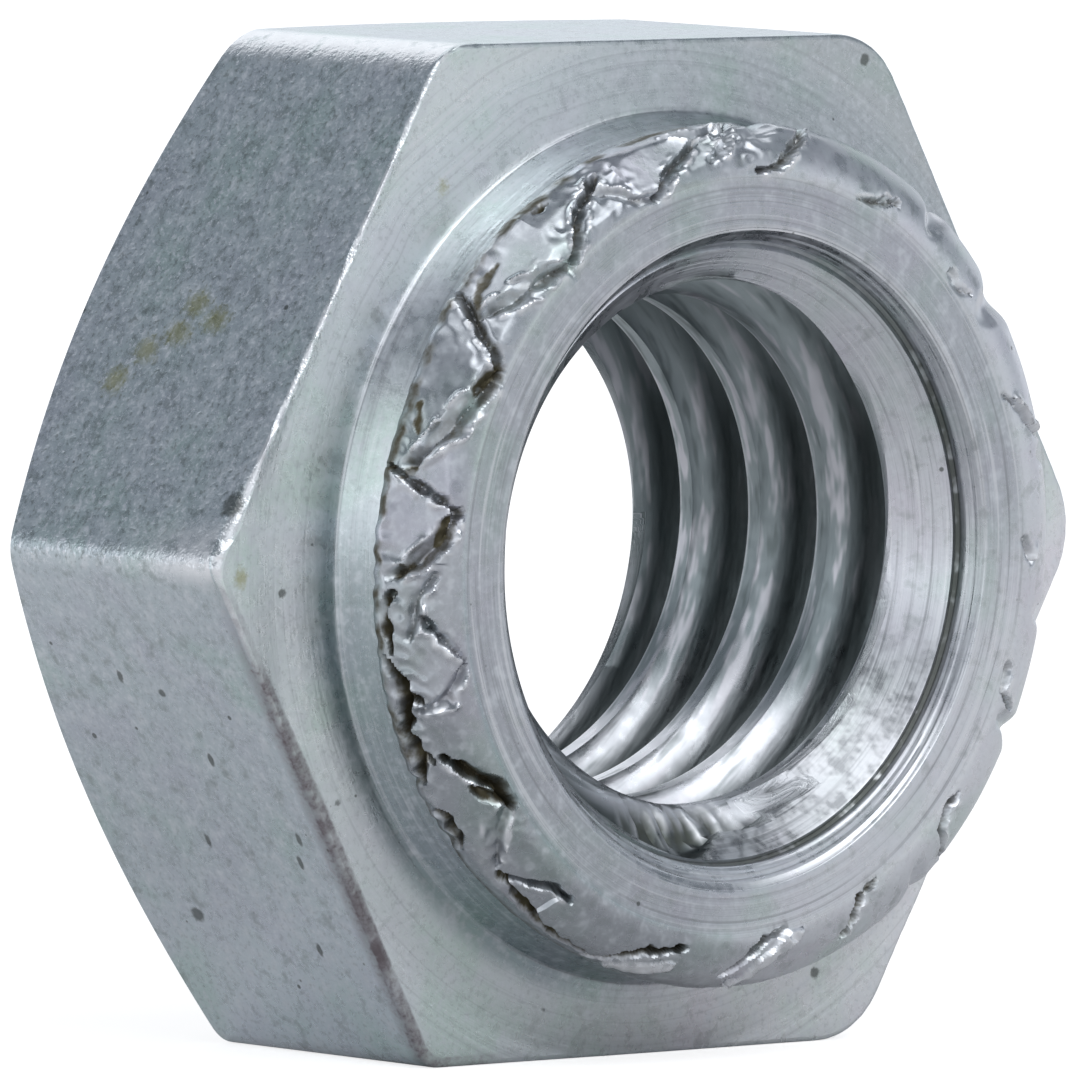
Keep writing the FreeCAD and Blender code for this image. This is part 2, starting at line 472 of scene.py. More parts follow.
def knurl_relief(theta, share, sizes, look):
    """Height of the knurl over the crown. Pads are planes that cut the crown; cuts are
    vees along their paths, narrower towards their ends; and lips are rounded ridges beside
    them, with beads of torn metal."""
    r, y, normal_r, normal_y = crown_section(sizes, theta, share)
    start = smoothstep(-0.04, 0.1, share)
    place, normal = points(theta, r, y), points(theta, normal_r, normal_y)
    soft = 0.006 * MM
    height = np.zeros(theta.shape)
    for angle, back, depth, lean_round, lean_back in PADS:
        middle_theta = np.radians([angle])
        pr, py, nr, ny = crown_section(sizes, middle_theta, np.array([back / 100]))
        out = points(middle_theta, nr, ny)[0]
        middle = points(middle_theta, pr, py)[0] - out * depth * look.pad_depth * MICRON
        spin = np.array([-np.sin(middle_theta[0]), 0, np.cos(middle_theta[0])])
        facing = out + spin * math.tan(radians(lean_round))
        facing = facing + np.cross(out, spin) * math.tan(radians(lean_back))
        lean = normal @ facing
        close = np.abs(wrapped(theta - middle_theta[0])) < radians(14)
        plane = ((middle - place) @ facing) / np.where(lean > 0.2, lean, 1)
        plane = np.where(close & (lean > 0.2), plane, 1)
        height = 0.5 * (height + plane - np.sqrt((height - plane) ** 2 + soft ** 2))
    height = height * start

    wobble = 0.01 * MM * ripple(theta, share * MM, 130, 0.25 * MM, look.seed + 1)
    uneven = ripple(theta, share * MM, 120, 0.22 * MM, look.seed + 2)
    uneven = 0.15 + 1.25 * smoothstep(-0.9, 1.2, uneven)
    carved = np.zeros(theta.shape)
    lips = np.zeros(theta.shape)
    dirt_and_shade = np.zeros(theta.shape)
    jagged = 0.008 * MM * ripple(theta, share * MM, 150, 0.18 * MM, look.seed + 4)
    for path, width, depth, grime_and_shade, *rolled in STROKES:
        gap, side, run = stroke_field(theta, share, path)
        darkest = 0.8 < grime_and_shade / 100
        if width < BROAD:
            gap = np.maximum(gap + wobble + (0.3 + 0.7 * darkest) * jagged, 0)
        slim = 0.3 + 0.7 * np.sqrt(np.sin(pi * np.clip(run, 0.08, 0.92)))
        # the flank towards the front face is the steeper one
        slim = slim * width * MICRON * (1 + 0.4 * side * (80 < width < BROAD))
        hollow = np.clip(1 - gap / slim, 0, 1)
        if width > BROAD:
            hollow = hollow * hollow * (3 - 2 * hollow)
        carved = np.maximum(carved, depth * MICRON * look.cut_depth * hollow)
        raised = -min(depth, 0) * MICRON * look.lip_height * smoothstep(0, 0.55, hollow)
        lips = np.maximum(lips, raised * (0.7 + 0.3 * uneven))
        # the hollows are darkened, most on the steeper flank towards the front face: muck and painted
        # shade
        soiled_and_shaded = smoothstep(0.05, 0.5, hollow) * np.where(side < 0, 1, 0.35 + 0.65 * darkest)
        dirt_and_shade = np.maximum(dirt_and_shade, grime_and_shade / 100 * soiled_and_shaded)
        for lip, which in zip(rolled, (-1, 1)):
            ridge = np.exp(-((gap - slim - 0.022 * MM) / (0.03 * MM)) ** 2) * (side == which)
            ridge = ridge * smoothstep(0, 0.12, run) * (1 - smoothstep(0.9, 1, run))
            lips = np.maximum(lips, lip * MICRON * look.lip_height * ridge * uneven)
    lumps = 1.0 - 2.0 * np.abs(ripple(theta, share * MM, 110, 0.22 * MM, look.seed + 6))
    for angle, back, around, along, tall in TORN:
        patch = bell(theta, angle, around) * np.exp(-((share * 100 - back) / along) ** 2)
        height = height + tall * MICRON * patch * lumps
    rough = look.roughness * (1 - 0.7 * near(theta, 10, 70, 110))
    rough = rough * ripple(theta, share * MM, 45, 0.7 * MM, look.seed + 3)
    height = height + lips - carved + rough * start
    # painted shade along the crest, on the side where the crown was upset most
    crest = smoothstep(0.93, 0.99, share) * smoothstep(1.25, 1.05, share)
    crest = crest * near(theta, 152, 50, 62)
    crest = crest * np.clip(0.7 + 0.5 * ripple(theta, 0 * share, 70, MM, look.seed + 8), 0, 1)
    dirt_and_shade = np.maximum(dirt_and_shade, 0.9 * crest)
    # the raised lips are made pale: wear and painted highlight
    wear_and_highlight = np.clip(lips / (0.025 * MM), 0, 1)
    return height * start, dirt_and_shade * start, wear_and_highlight


def thread_section(sizes):
    """The thread's pitch, its crest's and root's radius, the length of a flank along the
    axis, and half the flat of the root."""
    pitch = sizes.thread_pitch
    crest, root = (sizes.thread_diameter - pitch) / 2, sizes.thread_diameter / 2
    return pitch, crest, root, (root - crest) * math.tan(radians(35)), pitch / 16


def thread_reach(y, theta, sizes):
    """Distance from the axis to the thread's surface. Its groove is a vee with rounded
    flanks and a flat root, whose place along the axis moves back by one pitch a turn."""
    pitch, crest, root, flank, land = thread_section(sizes)
    place = sizes.thread_phase - pitch * theta / TURN
    off = np.abs((y - place + pitch / 2) % pitch - pitch / 2)
    rise = np.clip((off - land) / flank, 0, 1)
    rise = 0.15 * rise + 0.85 * (0.5 - 0.5 * np.cos(pi * rise))
    return root - (root - crest) * rise


def thread_block(skin, sizes, front, back):
    """The thread's grid follows the helix: each column's points keep their place in the
    thread's section, so that crests and roots run along the rows. Points past either end
    lie on the end's ring. An end is given by its place, its radius and its cone's slope."""
    pitch, crest, root, flank, land = thread_section(sizes)
    front_y, front_r, front_slope = front
    back_y, back_r, back_slope = back
    edge = pitch - land - flank
    knots = (0, land, land + flank, edge - 0.03 * MM, edge, pitch - land, pitch)
    offsets = np.concatenate([
        np.linspace(*knots[k:k + 2], rows, endpoint=False) for k, rows in enumerate(THREAD_ROWS)])
    crest_edge = np.exp(-((offsets - edge) / (0.015 * MM)) ** 2)
    per_pitch = len(offsets)
    theta = even_angles(COARSE)
    place = sizes.thread_phase - pitch * theta / TURN
    first = math.floor((front_y - place.max()) / pitch) - 1
    last = math.ceil((back_y - place.min()) / pitch) + 1
    index = np.arange(first * per_pitch, (last + 1) * per_pitch)
    y = place + (index // per_pitch)[:, None] * pitch + offsets[index % per_pitch][:, None]
    margin = 0.012 * MM
    inside = (y > front_y + margin) & (y < back_y - margin)
    angles = np.broadcast_to(theta, y.shape)
    reach = thread_reach(y, angles, sizes)
    # the groove ends before it reaches the countersink's lower right
    ended = smoothstep(radians(90), radians(150), angles)
    ended = 1 - ended * (1 - smoothstep(radians(262), radians(280), angles))
    ended = ended * smoothstep(front_y + 0.3 * MM, front_y + 0.2 * MM, y)
    reach = reach + (crest - reach) * ended
    cone_front = front_r - (y - front_y) * front_slope
    cone_back = back_r - (back_y - y) * back_slope
    cone = np.maximum(cone_front, cone_back)
    r = 0.5 * (reach + cone + np.sqrt((reach - cone) ** 2 + margin ** 2))
    on_cone = smoothstep(-0.02 * MM, 0.02 * MM, cone - reach)
    # painted shade darkens the grooves a little towards their roots; a painted highlight makes a pale
    # line along each crest's edge
    deep = smoothstep(crest, root, r) * (1 - on_cone)
    rubbed_and_glint = crest_edge[index % per_pitch][:, None] * (1 - on_cone)
    torn = near(theta, 262, 8, 20) * np.exp(-((y - front_y - 0.36 * MM) / (0.1 * MM)) ** 2)
    lumps = ripple(angles, y, 110, 0.16 * MM, 41)
    r = r - 0.035 * MM * torn * lumps
    # on the torn patch the dents are darkened and the lumps' tops made pale: painted shade and painted
    # highlight
    soiled_and_shaded = torn * np.clip(0.75 - 0.9 * lumps, 0, 1)
    marks = mark(
        turned=on_cone, thread=1 - on_cone, grime_and_shade=np.maximum(0.1 * deep, soiled_and_shaded),
        wear_and_highlight=np.maximum(0.6 * rubbed_and_glint, torn * np.clip(lumps - 0.6, 0, 1)))

    front_ring = skin.add_points(points(theta, front_r, front_y), mark(turned=1.0))
    back_ring = skin.add_points(points(theta, back_r, back_y), mark(turned=1.0))
    ids = np.where(y <= front_y + margin, front_ring, back_ring)
    ids[inside] = skin.add_points(points(angles, r, y)[inside], marks[inside])
    # each column meets the next; the last one meets the first, one pitch further along
    seam = np.roll(ids[:, 0], per_pitch)
    seam[:per_pitch] = front_ring[0]
    beyond = np.concatenate([ids[:, 1:], seam[:, None]], 1)
    a, b = ids[:-1], ids[1:]
    c, d = beyond[1:], beyond[:-1]
    tris = np.concatenate([
        np.stack([b, a, d], -1).reshape(-1, 3),
        np.stack([b, d, c], -1).reshape(-1, 3)])
    good = (tris[:, 0] != tris[:, 1]) & (tris[:, 1] != tris[:, 2]) & (tris[:, 2] != tris[:, 0])
    skin.faces.append(tris[good])
    return front_ring, back_ring


def crown_rings(skin, sizes, look, theta, share):
    """Rings of the collar's crown, raised and cut by the knurl along their normals."""
    theta, share = np.meshgrid(theta, share)
    r, y, normal_r, normal_y = crown_section(sizes, theta, share)
    down = np.clip(share - 1, 0, 1)
    height, dirt_and_shade, lips = knurl_relief(theta, np.minimum(share, 1), sizes, look)
    uneven = 0.6 + 0.4 * np.cos(theta - radians(190))
    ragged = 0.015 * MM * uneven * ripple(theta, 0 * share, 150, MM, look.seed + 5)
    height = height * (1 - down) ** 0.8
    r = r + height * normal_r
    y = y + height * normal_y + ragged * smoothstep(0.75, 1, share) * (1 - down)
    knurled = smoothstep(-0.05, 0.1, share) * (1 - smoothstep(0.4, 1, down))
    # painted shade on the bevel behind the crest, at the bottom of the collar
    shade = 3 * down * (1 - down) * near(theta, 272, 62, 75)
    skin.band(theta, r, y, mark(
        turned=1 - knurled, knurl=knurled, grime_and_shade=np.maximum(dirt_and_shade * (1 - down), shade), wear_and_highlight=lips))


# ---------------- the nut


def rim_rings(skin, sizes):
    """Rim of the bore: a thin groove, widest to the right; a turned chamfer, whose fine
    steps are a sine along it; part of a circle; and the collar's flat front face."""
    front = -sizes.collar_height
    groove = sizes.thread_diameter / 2 + 0.01 * MM
    theta = even_angles(MIDDLE)
    rim = sizes.rim_radius + 0.07 * MM * bell(theta, 264, 34)
    wide = 0.055 * MM + 0.03 * MM * np.cos(theta - radians(15))
    # painted shade in the thin groove at the rim, strongest to the right
    dirt_and_shade = column(0.2, 0.9, 0.9, 0.3) * (0.3 + 0.7 * near(theta, -25, 45, 110))
    skin.band(
        theta, groove + wide * column(0.1, 0.6, 1.0, 1.0),
        front + column(0.26, 0.275, 0.25, 0.2) * MM, mark(turned=1.0, grime_and_shade=dirt_and_shade))

    edge = 0.02 * MM
    fade = np.linspace(0, 1, 12)[:, None]
    inner = groove + 0.01 * MM + wide
    step = 0.003 * MM + 0.012 * MM * bell(theta, 288, 48)
    y = front + 0.18 * MM + (edge - 0.18 * MM) * fade
    y = y + step * np.sin(fade * TURN * 2.25) * np.sin(pi * fade)
    # the chamfer and the rim's rounded edge are made paler: wear and painted highlight
    skin.band(theta, inner + (rim - edge - inner) * fade, y, mark(turned=1.0, wear_and_highlight=0.25))
    bend = np.radians(column(20, 45, 70))
    skin.band(
        theta, rim + edge * (1 - np.cos(bend)), front + edge * (1 - np.sin(bend)),
        mark(turned=1.0, wear_and_highlight=0.4))
    fade = column(0.0, 0.5, 1.0)
    start, end = rim + 2 * edge, sizes.face_radius - 0.12 * MM - 2 * edge
    skin.band(
        theta + (gathered_angles(MIDDLE) - theta) * fade, start + (end - start) * fade,
        front, mark(turned=1.0))


def neck_rings(skin, sizes, theta):
    """Neck: a cone that widens towards the shoulder, then a soft lip, part of a circle.
    Gives the radius at the lip's top."""
    neck = sizes.neck_radius
    lip = neck + sizes.neck_flare
    bead = 0.016 * MM
    fade = column(0.1, 0.55, 1.0)
    end = -sizes.cove_rise - 0.03 * MM
    y = sizes.neck_front + (end - sizes.neck_front) * fade
    skin.band(theta, neck + (lip - neck) * fade, y, mark(turned=0.5))
    # the lip is made paler, most at the upper left: wear and painted highlight
    bend = np.radians(column(15, 45, 75))
    skin.band(
        theta, lip + 0.005 * MM + bead * np.sin(bend), -sizes.cove_rise - bead * np.cos(bend),
        mark(turned=0.6, wear_and_highlight=0.05 + 0.15 * near(theta, 148, 15, 45)))
    return lip + 0.005 * MM + bead


def shoulder_rings(skin, sizes, theta, top):
    """Shoulder, which climbs to the lip at radius top by the power 1.25 of the way there.
    At each share of the way out, angle and distance lie that far between the lip's circle
    and the hexagon. A quarter circle, rounded by wear and with burrs of noise, rounds the outer
    edge. Its edge is made paler as wear and painted highlight, the cove at the lower left darker
    as painted shade, and the lower left edge darker."""
    edge = sizes.edge_round
    hexed = corner_angles(MIDDLE, 0.75)

    def rise(r):
        share = (sizes.cove_radius - r) / (sizes.cove_radius - top)
        return -sizes.cove_rise * np.clip(share, 0, 1) ** 1.25

    def outline(angles):
        return hexagon_reach(angles, sizes.across_flats / 2 - edge, sizes.corner_round - edge)

    for share in (0.02, 0.08, 0.16, 0.26, 0.38, 0.5, 0.62, 0.74, 0.84):
        angles = theta + (hexed - theta) * share
        r = top + (outline(angles) - top) * share
        # painted shade in the cove by the neck at the lower left
        dirt_and_shade = 0.15 * near(theta, 215, 15, 50) * max(0, 1 - share / 0.3)
        skin.band(angles, r, rise(r), mark(turned=0.3, grime_and_shade=dirt_and_shade))
    worn_off = left_bevel(hexed)
    reach = outline(hexed) - worn_off
    dull = near(hexed, 216, 20, 38)
    dirt_and_shade = dull * np.clip(0.8 + 0.12 * ripple(hexed, 0 * hexed, 60, MM, 35), 0, 1)
    for inset, share in ((0.085, 0.0), (0.055, 0.8), (0.005, 1.0)):
        r = reach - inset * MM
        skin.band(hexed, r, rise(r), mark(turned=0.3, grime_and_shade=share * dirt_and_shade))
    burred = near(hexed, 158, 20, 55)
    wear = (0.15 + 1.2 * burred + 15 * worn_off / MM) * 0.005 * MM * (
        ripple(hexed, 0 * hexed, 230, MM, 31) + ripple(hexed, 0 * hexed, 60, MM, 32))
    bend = np.radians(column(0, 22, 45, 68, 90))
    lobe = np.sin(2 * bend) * wear
    r = reach + (edge + worn_off) * np.sin(bend) + lobe
    y = (edge + worn_off) * (1 - np.cos(bend)) - lobe + rise(reach) * np.cos(bend)
    # the rounded outer edge is made paler, most where it is burred at the upper left: wear and painted
    # highlight
    rubbed_and_glint = np.sin(2 * bend) ** 0.5 * (0.15 + 0.85 * burred)
    skin.band(hexed, r, y, mark(wear_and_highlight=rubbed_and_glint * (1 - dull), side=bend / pi * 2, grime_and_shade=dirt_and_shade))


def back_rings(skin, sizes, back_r, back_ring):
    """Flats, the turned chamfer behind them, and the flat back face."""
    flat, back = sizes.across_flats / 2, sizes.hexagon_height
    hexed, even = corner_angles(COARSE, 0.75), even_angles(COARSE)
    reach = hexagon_reach(hexed, flat, sizes.corner_round)
    face = flat - sizes.chamfer_inset
    chamfer_y = back - (reach - face) * math.tan(sizes.chamfer_angle)
    start = sizes.edge_round + left_bevel(hexed)
    share = column(0.006, 0.02, 0.05, 0.2, 0.4, 0.6, 0.8, 0.985, 1.0)
    # painted highlight: the rounded long edges at the top left and at the left are made paler
    left = near(hexed, 179, 1, 4) * smoothstep(0.5, 0.0, share)
    dirt_and_shade = 0.7 * near(hexed, 216, 20, 38) * smoothstep(0.045, 0.0, share)
    skin.band(hexed, reach, start + (chamfer_y - start) * share, mark(
        side=1.0, wear_and_highlight=np.maximum(near(hexed, 120, 1.2, 3.2), left), grime_and_shade=dirt_and_shade))
    share = column(0.03, 0.25, 0.5, 0.75, 0.97)
    skin.band(
        hexed + (even - hexed) * share, reach + (face - reach) * share,
        chamfer_y + (back - chamfer_y) * share, mark(turned=1.0))
    r = np.linspace(face - 0.02 * MM, back_r + 0.03 * MM, 3)[:, None]
    skin.band(even, r, back, mark(turned=1.0))
    skin.join(skin.last, back_ring)


def build_nut(sizes, look):
    """The whole nut as one closed skin: bore, countersink, face, knurl, neck, cove,
    shoulder, hexagon, chamfer, back face and countersink at the back."""
    skin = Skin()
    pitch, bore, root, flank, land = thread_section(sizes)
    front_end = 0.25 * MM - sizes.collar_height, root, (root - bore) / (0.45 * MM)
    back_r = root + 0.05 * MM
    back_end = sizes.hexagon_height, back_r, 1.0
    skin.last, back_ring = thread_block(skin, sizes, front_end, back_end)
    rim_rings(skin, sizes)
    crown_rings(skin, sizes, look, gathered_angles(FINE), np.concatenate(
        [[-0.12, -0.06], np.linspace(0, 1, 46), [1.1, 1.25]]))
    theta = gathered_angles(MIDDLE)
    crown_rings(skin, sizes, look, theta, np.array([1.5, 1.75, 2.0]))
    top = neck_rings(skin, sizes, theta)
    shoulder_rings(skin, sizes, theta, top)
    back_rings(skin, sizes, back_r, back_ring)
    return skin.mesh("clinch_nut_look")


# ---------------- finishes


class Graph:
    """A short way to write a node tree: every call adds a node and returns its output."""

    def __init__(self, tree):
        self.tree = tree
        tree.nodes.clear()

    def node(self, kind, inputs=(), **settings):
        """A node; its inputs are given as pairs of a socket's name or number and a value."""
        made = self.tree.nodes.new("ShaderNode" + kind)
        for key, value in settings.items():
            setattr(made, key, value)
        for key, value in inputs:
            if isinstance(value, bpy.types.NodeSocket):
                self.tree.links.new(value, made.inputs[key])
            else:
                made.inputs[key].default_value = value
        return made

    def math(self, operation, *values):
        return self.node("Math", enumerate(values), operation=operation).outputs[0]

    def chain(self, operation, first, *rest):
        for value in rest:
            first = self.math(operation, first, value)
        return first

    def times(self, *values):
        return self.chain("MULTIPLY", *values)

    def plus(self, *values):
        return self.chain("ADD", *values)

    def most(self, *values):
        return self.chain("MAXIMUM", *values)

    def less(self, a, b):
        return self.math("SUBTRACT", a, b)

    def vector(self, operation, *values):
        made = self.node("VectorMath", enumerate(values), operation=operation)
        single = operation in ("LENGTH", "DISTANCE", "DOT_PRODUCT")
        return made.outputs["Value" if single else "Vector"]

    def scaled(self, a, factor):
        inputs = ((0, a), ("Scale", factor))
        return self.node("VectorMath", inputs, operation="SCALE").outputs["Vector"]

    def joined(self, *values):
        return self.node("CombineXYZ", enumerate(values)).outputs[0]

    def split(self, vector):
        return self.node("SeparateXYZ", ((0, vector),)).outputs

    def noise(self, vector, scale, roughness):
        inputs = (("Vector", vector), ("Scale", scale), ("Detail", 2.0), ("Roughness", roughness))
        return self.node("TexNoise", inputs).outputs["Fac"]

    def attribute(self, name):
        return self.node("Attribute", attribute_name=name).outputs["Fac"]

    def ramp(self, value, low, high, out_low=0.0, out_high=1.0):
        """From one value at low to another at high, with an S-shaped step between them."""
        keys = ("Value", "From Min", "From Max", "To Min", "To Max")
        inputs = zip(keys, (value, low, high, out_low, out_high))
        kind = "MapRange"
        return self.node(kind, inputs, interpolation_type="SMOOTHSTEP").outputs["Result"]

    def line(self, value, at_zero, at_one):
        """Straight from one value at 0 to another at 1."""
        inputs = (("Value", value), ("To Min", at_zero), ("To Max", at_one))
        return self.node("MapRange", inputs, clamp=False).outputs["Result"]

    def mix(self, factor, a, b, blend="MIX"):
        a, b = (c if isinstance(c, bpy.types.NodeSocket) else (*c, 1) for c in (a, b))
        inputs = ((0, factor), (6, a), (7, b))
        return self.node("Mix", inputs, data_type="RGBA", blend_type=blend).outputs[2]

    def layers(self, colour, *layers):
        """Colours laid over the first: each has its factor, and may say how it blends."""
        for factor, *layer in layers:
            colour = self.mix(factor, colour, *layer)
        return colour

    def shown(self, kind, shader):
        self.node(kind, (("Surface", shader.outputs[0]),))


def new_material(name):
    material = bpy.data.materials.new(name)
    material.use_nodes = True
    return material, Graph(material.node_tree)


# Marks on the plating: the middle of each, in mm, by its size along the three axes.
STAINS = {
    (0.16, 0.19, 0.17): ((-4.45, 1.5, 2.27), (-4.36, 1.86, 2.4), (-4.55, 1.95, 2.12),
                         (-4.66, 2.29, 1.95), (-4.82, 2.55, 1.64)),
    (0.09, 0.09, 0.11): ((-2.91, 0.00, 3.6), (-5.4, 0.00, -0.11)),
}
PITS = {
    (0.05, 0.035, 0.1): ((-4.62, 1.28, -1.99), (-4.13, 1.86, -2.84), (-4.2, 0.45, -2.73),
                          (-4.06, 0.58, -2.96), (-3.54, 0.86, -3.87), (-5.07, 2.13, -1.22)),
    (0.045, 0.045, 0.045): ((-4.88, 0, -0.27), (-4.13, 0, -2.33), (-2.83, 0, -3.72),
                            (-3.57, 0, -2.6), (-1.4, 0, -4.48), (-5.00, 1.59, -1.35),
                            (-4.83, 0.92, -1.39)),
    (0.06, 0.06, 0.06): ((2.25, 0, -4.31), (2.72, 0, 4.74)),
    (0.085, 0.085, 0.085): ((-3.66, 2.52, -3.64),),
    # painted shade: this large dark spot on the upper left flat, by the left corner, stands in for the
    # shade of a dent
    (0.12, 0.12, 0.12): ((-5.43, 0.12, 0.6),),
}


def spread(g, place, edge, spots, core):
    """1 inside any of the spots and 0 outside: the least distance to a middle, in shares of
    that spot's size, with an uneven edge that fades from the core's share out."""
    gaps = []
    for size, middles in spots.items():
        shares = g.vector("DIVIDE", place, size)
        for middle in middles:
            gaps.append(g.vector("DISTANCE", shares, tuple(m / s for m, s in zip(middle, size))))
    return g.ramp(g.plus(g.chain("MINIMUM", *gaps), edge), 1.3, core)


def zinc_finish(finish):
    """Zinc plating: a bluish metal whose grain, turning marks, stains, pits, muck, painted
    shade and painted highlights come from noise in the nut's own coordinates, from zones of
    its place, and from the marks that its vertices carry."""
    material, g = new_material("zinc_plating")
    place = g.scaled(g.node("TexCoord").outputs["Object"], 1 / MM)
    x, y, z = g.split(place)
    reach = g.vector("LENGTH", g.joined(x, 0.0, z))
    turned, threaded, knurled, dirt_and_shade, wear_and_highlight, side = (g.attribute(name) for name in MARKS)
    round_part = g.most(turned, knurled)
    unthreaded = g.line(threaded, 1.0, 0.0)

    clouds = g.noise(place, 1.0, 0.6)
    patches = g.noise(place, 5.0, 0.65)
    grain = g.noise(place, 15.0, 0.7)
    # the cutting tool's lines: rings on turned faces, and streaks along the thread's turns;
    # near the shoulder's upper left corner straight scratches lie across the rings
    turn = g.plus(y, g.times(g.math("ARCTAN2", z, x), 1 / TURN, threaded))
    sweep, rate = g.line(threaded, 1.2, 3.2), g.line(threaded, 17.0, 6.0)
    scratched = g.ramp(g.vector("DISTANCE", place, (-2.5, 0.0, 3.7)), 1.3, 0.7)
    across = g.vector("DOT_PRODUCT", place, (-0.55, 0.0, 0.84))
    rings = g.plus(reach, g.times(g.less(across, reach), scratched))
    lines = g.noise(g.joined(
        g.plus(g.times(rings, rate), g.times(g.math("DIVIDE", x, reach), sweep)),
        g.times(turn, rate),
        g.times(g.math("DIVIDE", z, reach), sweep)), 1.0, 0.7)

    # plating colour by zone, with painted light and shade
    low_right, top_right = g.less(x, z), g.plus(x, z)
    # painted light and shade on the shoulder: near white on the left, darker to the right, lighter again
    # to the lower right, and a dark teal band of painted shade by the neck, most at the lower left
    shaded = g.times(g.ramp(reach, 4.62, 4.34), g.ramp(z, 1.6, -1.0, 0, 0.9), g.ramp(x, 0.5, -2.0))
    shoulder = g.layers(
        finish.shoulder_zinc,
        (g.ramp(x, -3.0, 2.2), (0.6, 0.645, 0.655)),
        (g.ramp(low_right, 3.2, 5.6, 0, 0.9), (0.98, 0.99, 1.0)),
        (shaded, (0.31, 0.43, 0.45)))
    # painted light: the flats are paler towards the bottom
    flats = g.mix(g.ramp(z, -2.6, -4.6, 0, 0.8), finish.zinc, (0.8, 0.87, 0.92))
    # painted light and shade on the turned faces: lighter to the lower right and in the countersink,
    # darker to the lower left
    faces = g.layers(
        finish.turned_zinc,
        (g.ramp(low_right, 2.6, 4.6, 0, 0.6), (0.9, 0.91, 0.95)),
        (g.ramp(top_right, -3.4, -5.0, 0, 0.5), (0.4, 0.42, 0.45)),
        (g.ramp(reach, 3.02, 2.98, 0, 0.5), (0.92, 0.93, 0.97)))
    # painted light: the knurl's crown is paler to the upper right
    crown = g.times(knurled, g.ramp(top_right, 3.2, 4.6, 0, 0.7))

    # purple and green clouds, pale and dull patches, bright and dark grain, tool lines
    mottled = g.line(g.most(side, g.times(round_part, 0.8)), 0.25, 1.0)
    upper = g.ramp(g.vector("DOT_PRODUCT", place, (-0.866, 0, 0.5)), 4.85, 4.97)
    calm = g.times(g.line(round_part, 1.0, 0.4), g.line(upper, 0.4, 1.0))
    scored = g.times(turned, unthreaded)
    scratches = g.most(scored, g.times(scratched, g.less(1.0, side)))
    # the countersink is darker in blotches at its bottom, where it faces the light
    cone = g.times(
        g.ramp(reach, 3.02, 2.98), unthreaded, g.ramp(z, -0.4, -1.6),
        g.ramp(patches, 0.35, 0.62, 0.95, 0.45))
    # thread: a darker plating colour, partly painted shade of the bore, with streaks; painted light
    # makes it lighter at the top and much lighter at the bottom of the bore, where the highlights
    # fall, and painted shade darkens the grooves towards their roots, least at the top
    thread = g.layers(
        finish.thread_zinc,
        (g.ramp(z, 0.2, 1.6), (0.42, 0.475, 0.49)),
        (g.ramp(z, -1.2, -2.1, 0, 0.8), (0.84, 0.85, 0.9)),
        (g.ramp(lines, 0.5, 0.66, 0, 0.8), (0.74, 0.73, 0.78)),
        (g.ramp(lines, 0.46, 0.3, 0, 0.6), (0.14, 0.17, 0.17)),
        (g.times(g.ramp(reach, 2.6, 2.84), g.ramp(z, 2.4, 0.8, 0.1, 0.93)), (0.075, 0.092, 0.095)))
    # edges made pale by wear and painted highlights, stains and pits
    rubbed_and_glint = g.times(wear_and_highlight, g.ramp(patches, 0.3, 0.5, 0.35, 1.0))
    edge = g.line(grain, -1.1, 1.1)
    stained = spread(g, place, g.times(edge, 0.7), STAINS, 0.2)
    cells = g.node("TexVoronoi", (("Vector", place), ("Scale", 2.6)))
    size = g.ramp(clouds, 0.42, 0.7, 0.01, 0.085)
    small = g.ramp(g.less(cells.outputs["Distance"], size), 0.015, -0.02)
    pitted = g.most(spread(g, place, g.times(edge, 0.4), PITS, 0.7), g.times(small, unthreaded))
    colour = g.layers(
        shoulder, (side, flats), (round_part, faces), (crown, (0.9, 0.92, 0.96)),
        (g.ramp(clouds, 0.5, 0.7), (0.995, 0.96, 0.99), "MULTIPLY"),
        (g.ramp(clouds, 0.5, 0.3), (0.91, 0.985, 0.925), "MULTIPLY"),
        (g.ramp(patches, 0.5, 0.75, 0, 0.55), (0.8, 0.83, 0.87)),
        (g.times(mottled, g.ramp(patches, 0.48, 0.25, 0, 0.5)), (0.34, 0.38, 0.37)),
        (g.times(calm, g.ramp(grain, 0.53, 0.67, 0, 0.8)), (0.9, 0.93, 0.98)),
        (g.times(calm, g.ramp(grain, 0.47, 0.3, 0, 0.6)), (0.24, 0.27, 0.27)),
        (g.times(scored, g.ramp(lines, 0.48, 0.3, 0, 0.6)), (0.3, 0.31, 0.33)),
        (g.times(scratches, g.ramp(lines, 0.52, 0.68, 0, 0.5)), (0.9, 0.91, 0.94)),
        (cone, (0.24, 0.25, 0.265)), (threaded, thread), (rubbed_and_glint, (0.93, 0.94, 0.97)),
        (g.times(stained, 0.6), finish.stain), (g.times(pitted, 0.75), (0.1, 0.11, 0.1)))

    # muck and painted shade, with an uneven edge; dark grey in the bore, brown on the collar
    # and purple on the hexagon's edges
    fringe = g.times(dirt_and_shade, g.less(1.0, dirt_and_shade), 4.0, g.ramp(reach, 3.3, 3.6))
    grime_and_shade = g.plus(dirt_and_shade, g.times(fringe, g.times(edge, 0.6)))
    grime_and_shade = g.times(grime_and_shade, g.ramp(patches, 0.25, 0.5, 0.3, 1.0))
    grime_and_shade.node.use_clamp = True
    soil_and_shade_colour = g.layers(
        (0.12, 0.13, 0.115), (g.ramp(reach, 3.2, 3.5), finish.grime_and_shade),
        (g.ramp(reach, 4.4, 4.8), (0.24, 0.205, 0.22)))
    colour = g.mix(grime_and_shade, colour, soil_and_shade_colour)

